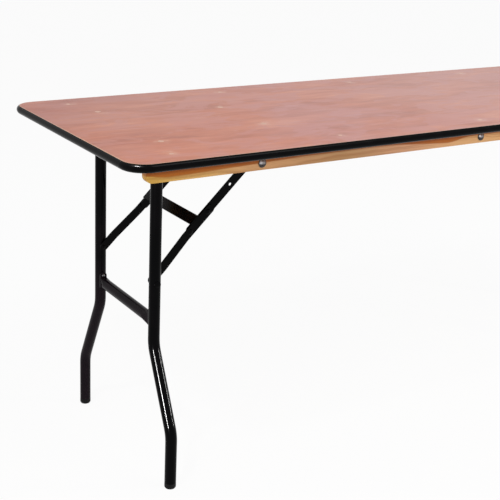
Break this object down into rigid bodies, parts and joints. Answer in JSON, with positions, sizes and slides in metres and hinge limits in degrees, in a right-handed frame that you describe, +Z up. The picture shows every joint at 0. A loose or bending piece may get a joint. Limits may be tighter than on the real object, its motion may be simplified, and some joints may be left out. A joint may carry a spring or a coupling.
{
  "type": "folding table",
  "caption": "Folding trestle table: plywood top with a black edge band on pine rails, and wishbone tube legs that fold flat under the top on jointed locking braces.",
  "frame": {"origin": "on the floor, under the middle of the top", "axes": "+X along the length of the top, +Y from front to rear, +Z up"},
  "size_m": [1.83, 0.61, 0.74],
  "materials": {
    "plywood": "satin varnished plywood, reddish brown, grain along the length",
    "black_vinyl": "semi-gloss black vinyl",
    "pine": "varnished pine",
    "wood_filler": "pale filler, varnished",
    "zinc_steel": "bright zinc plate",
    "black_paint": "gloss black powder coat",
    "foot_plastic": "textured black plastic"
  },
  "bodies": {
    "table": {"tabletop": "plywood", "edge_band": "black_vinyl", "rail_front": "pine", "rail_rear": "pine", "rail_brackets": "zinc_steel", "rail_bracket_screws": "zinc_steel", "rail_bolts": "zinc_steel", "rail_washers": "zinc_steel", "rail_nuts": "zinc_steel", "rail_screws": "zinc_steel", "filler_plugs": "wood_filler", "leg_brackets": "black_paint", "brace_brackets": "black_paint", "bracket_bolts": "zinc_steel", "bracket_nuts": "zinc_steel", "leg_pivot_bolts": "zinc_steel", "leg_pivot_nuts": "zinc_steel", "brace_pivot_bolts": "zinc_steel", "brace_pivot_nuts": "zinc_steel"},
    "left_leg_frame": {"left_leg_front": "black_paint", "left_leg_rear": "black_paint", "left_crossbar": "black_paint", "left_crossbar_rivets": "zinc_steel", "left_feet": "foot_plastic", "left_brace_rivets": "black_paint"},
    "left_lower_arms": {"left_lower_arm_front": "black_paint", "left_lower_arm_rear": "black_paint", "left_knuckle_rivets": "black_paint", "left_stop_rivets": "black_paint"},
    "left_upper_frame": {"left_upper_arm_front": "black_paint", "left_upper_arm_rear": "black_paint", "left_stop_strip": "black_paint", "left_knuckle_heads": "black_paint"},
    "right_leg_frame": {"right_leg_front": "black_paint", "right_leg_rear": "black_paint", "right_crossbar": "black_paint", "right_crossbar_rivets": "zinc_steel", "right_feet": "foot_plastic", "right_brace_rivets": "black_paint"},
    "right_lower_arms": {"right_lower_arm_front": "black_paint", "right_lower_arm_rear": "black_paint", "right_knuckle_rivets": "black_paint", "right_stop_rivets": "black_paint"},
    "right_upper_frame": {"right_upper_arm_front": "black_paint", "right_upper_arm_rear": "black_paint", "right_stop_strip": "black_paint", "right_knuckle_heads": "black_paint"}
  },
  "joints": [
    {"name": "left_leg_fold", "type": "hinge", "parent": "table", "child": "left_leg_frame", "pos_m": [-0.7715, 0, 0.703], "axis": [0, -1, 0], "range_deg": [0, 90]},
    {"name": "left_lower_arm_turn", "type": "hinge", "parent": "left_leg_frame", "child": "left_lower_arms", "pos_m": [-0.7715, 0, 0.434], "axis": [0, -1, 0], "range_deg": [0, 46.3]},
    {"name": "left_upper_arm_turn", "type": "hinge", "parent": "table", "child": "left_upper_frame", "pos_m": [-0.491, 0, 0.703], "axis": [0, 1, 0], "range_deg": [0, 43.9]},
    {"name": "right_leg_fold", "type": "hinge", "parent": "table", "child": "right_leg_frame", "pos_m": [0.7715, 0, 0.703], "axis": [0, 1, 0], "range_deg": [0, 90]},
    {"name": "right_lower_arm_turn", "type": "hinge", "parent": "right_leg_frame", "child": "right_lower_arms", "pos_m": [0.7715, 0, 0.434], "axis": [0, 1, 0], "range_deg": [0, 46.3]},
    {"name": "right_upper_arm_turn", "type": "hinge", "parent": "table", "child": "right_upper_frame", "pos_m": [0.491, 0, 0.703], "axis": [0, -1, 0], "range_deg": [0, 43.9]}
  ],
  "couplings": [
    {"joint": "left_lower_arm_turn", "follows": "left_leg_fold", "ratio": 0.51332},
    {"joint": "left_upper_arm_turn", "follows": "left_leg_fold", "ratio": 0.48668},
    {"joint": "right_lower_arm_turn", "follows": "right_leg_fold", "ratio": 0.51332},
    {"joint": "right_upper_arm_turn", "follows": "right_leg_fold", "ratio": 0.48668}
  ]
}
